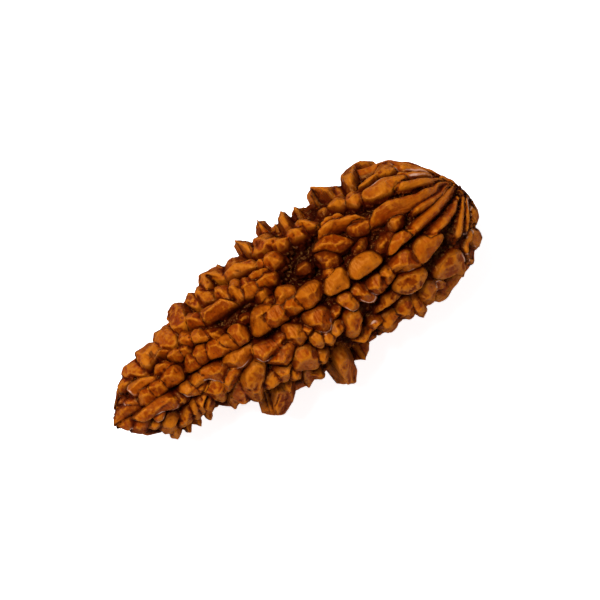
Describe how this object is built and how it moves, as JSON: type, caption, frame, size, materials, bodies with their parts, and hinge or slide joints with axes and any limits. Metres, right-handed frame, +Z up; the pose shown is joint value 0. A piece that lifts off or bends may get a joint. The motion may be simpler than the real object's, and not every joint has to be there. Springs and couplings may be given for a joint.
{
  "type": "rudraksha seed",
  "caption": "Long hard seed with blunt knobs in rows along its seams, a narrow tip and a stem end of pleated ribs, lying on its side.",
  "frame": {"origin": "centre of the footprint, on the ground that the seed lies on", "axes": "+X along the seed from the narrow tip to the stem end, +Z up, -Y towards the side that the picture is taken from"},
  "size_m": [0.046, 0.0201, 0.0178],
  "materials": {
    "seed_skin": "oiled, semi-gloss orange-brown, near black in the valleys"
  },
  "bodies": {
    "root": {"seed": "seed_skin"}
  },
  "joints": []
}
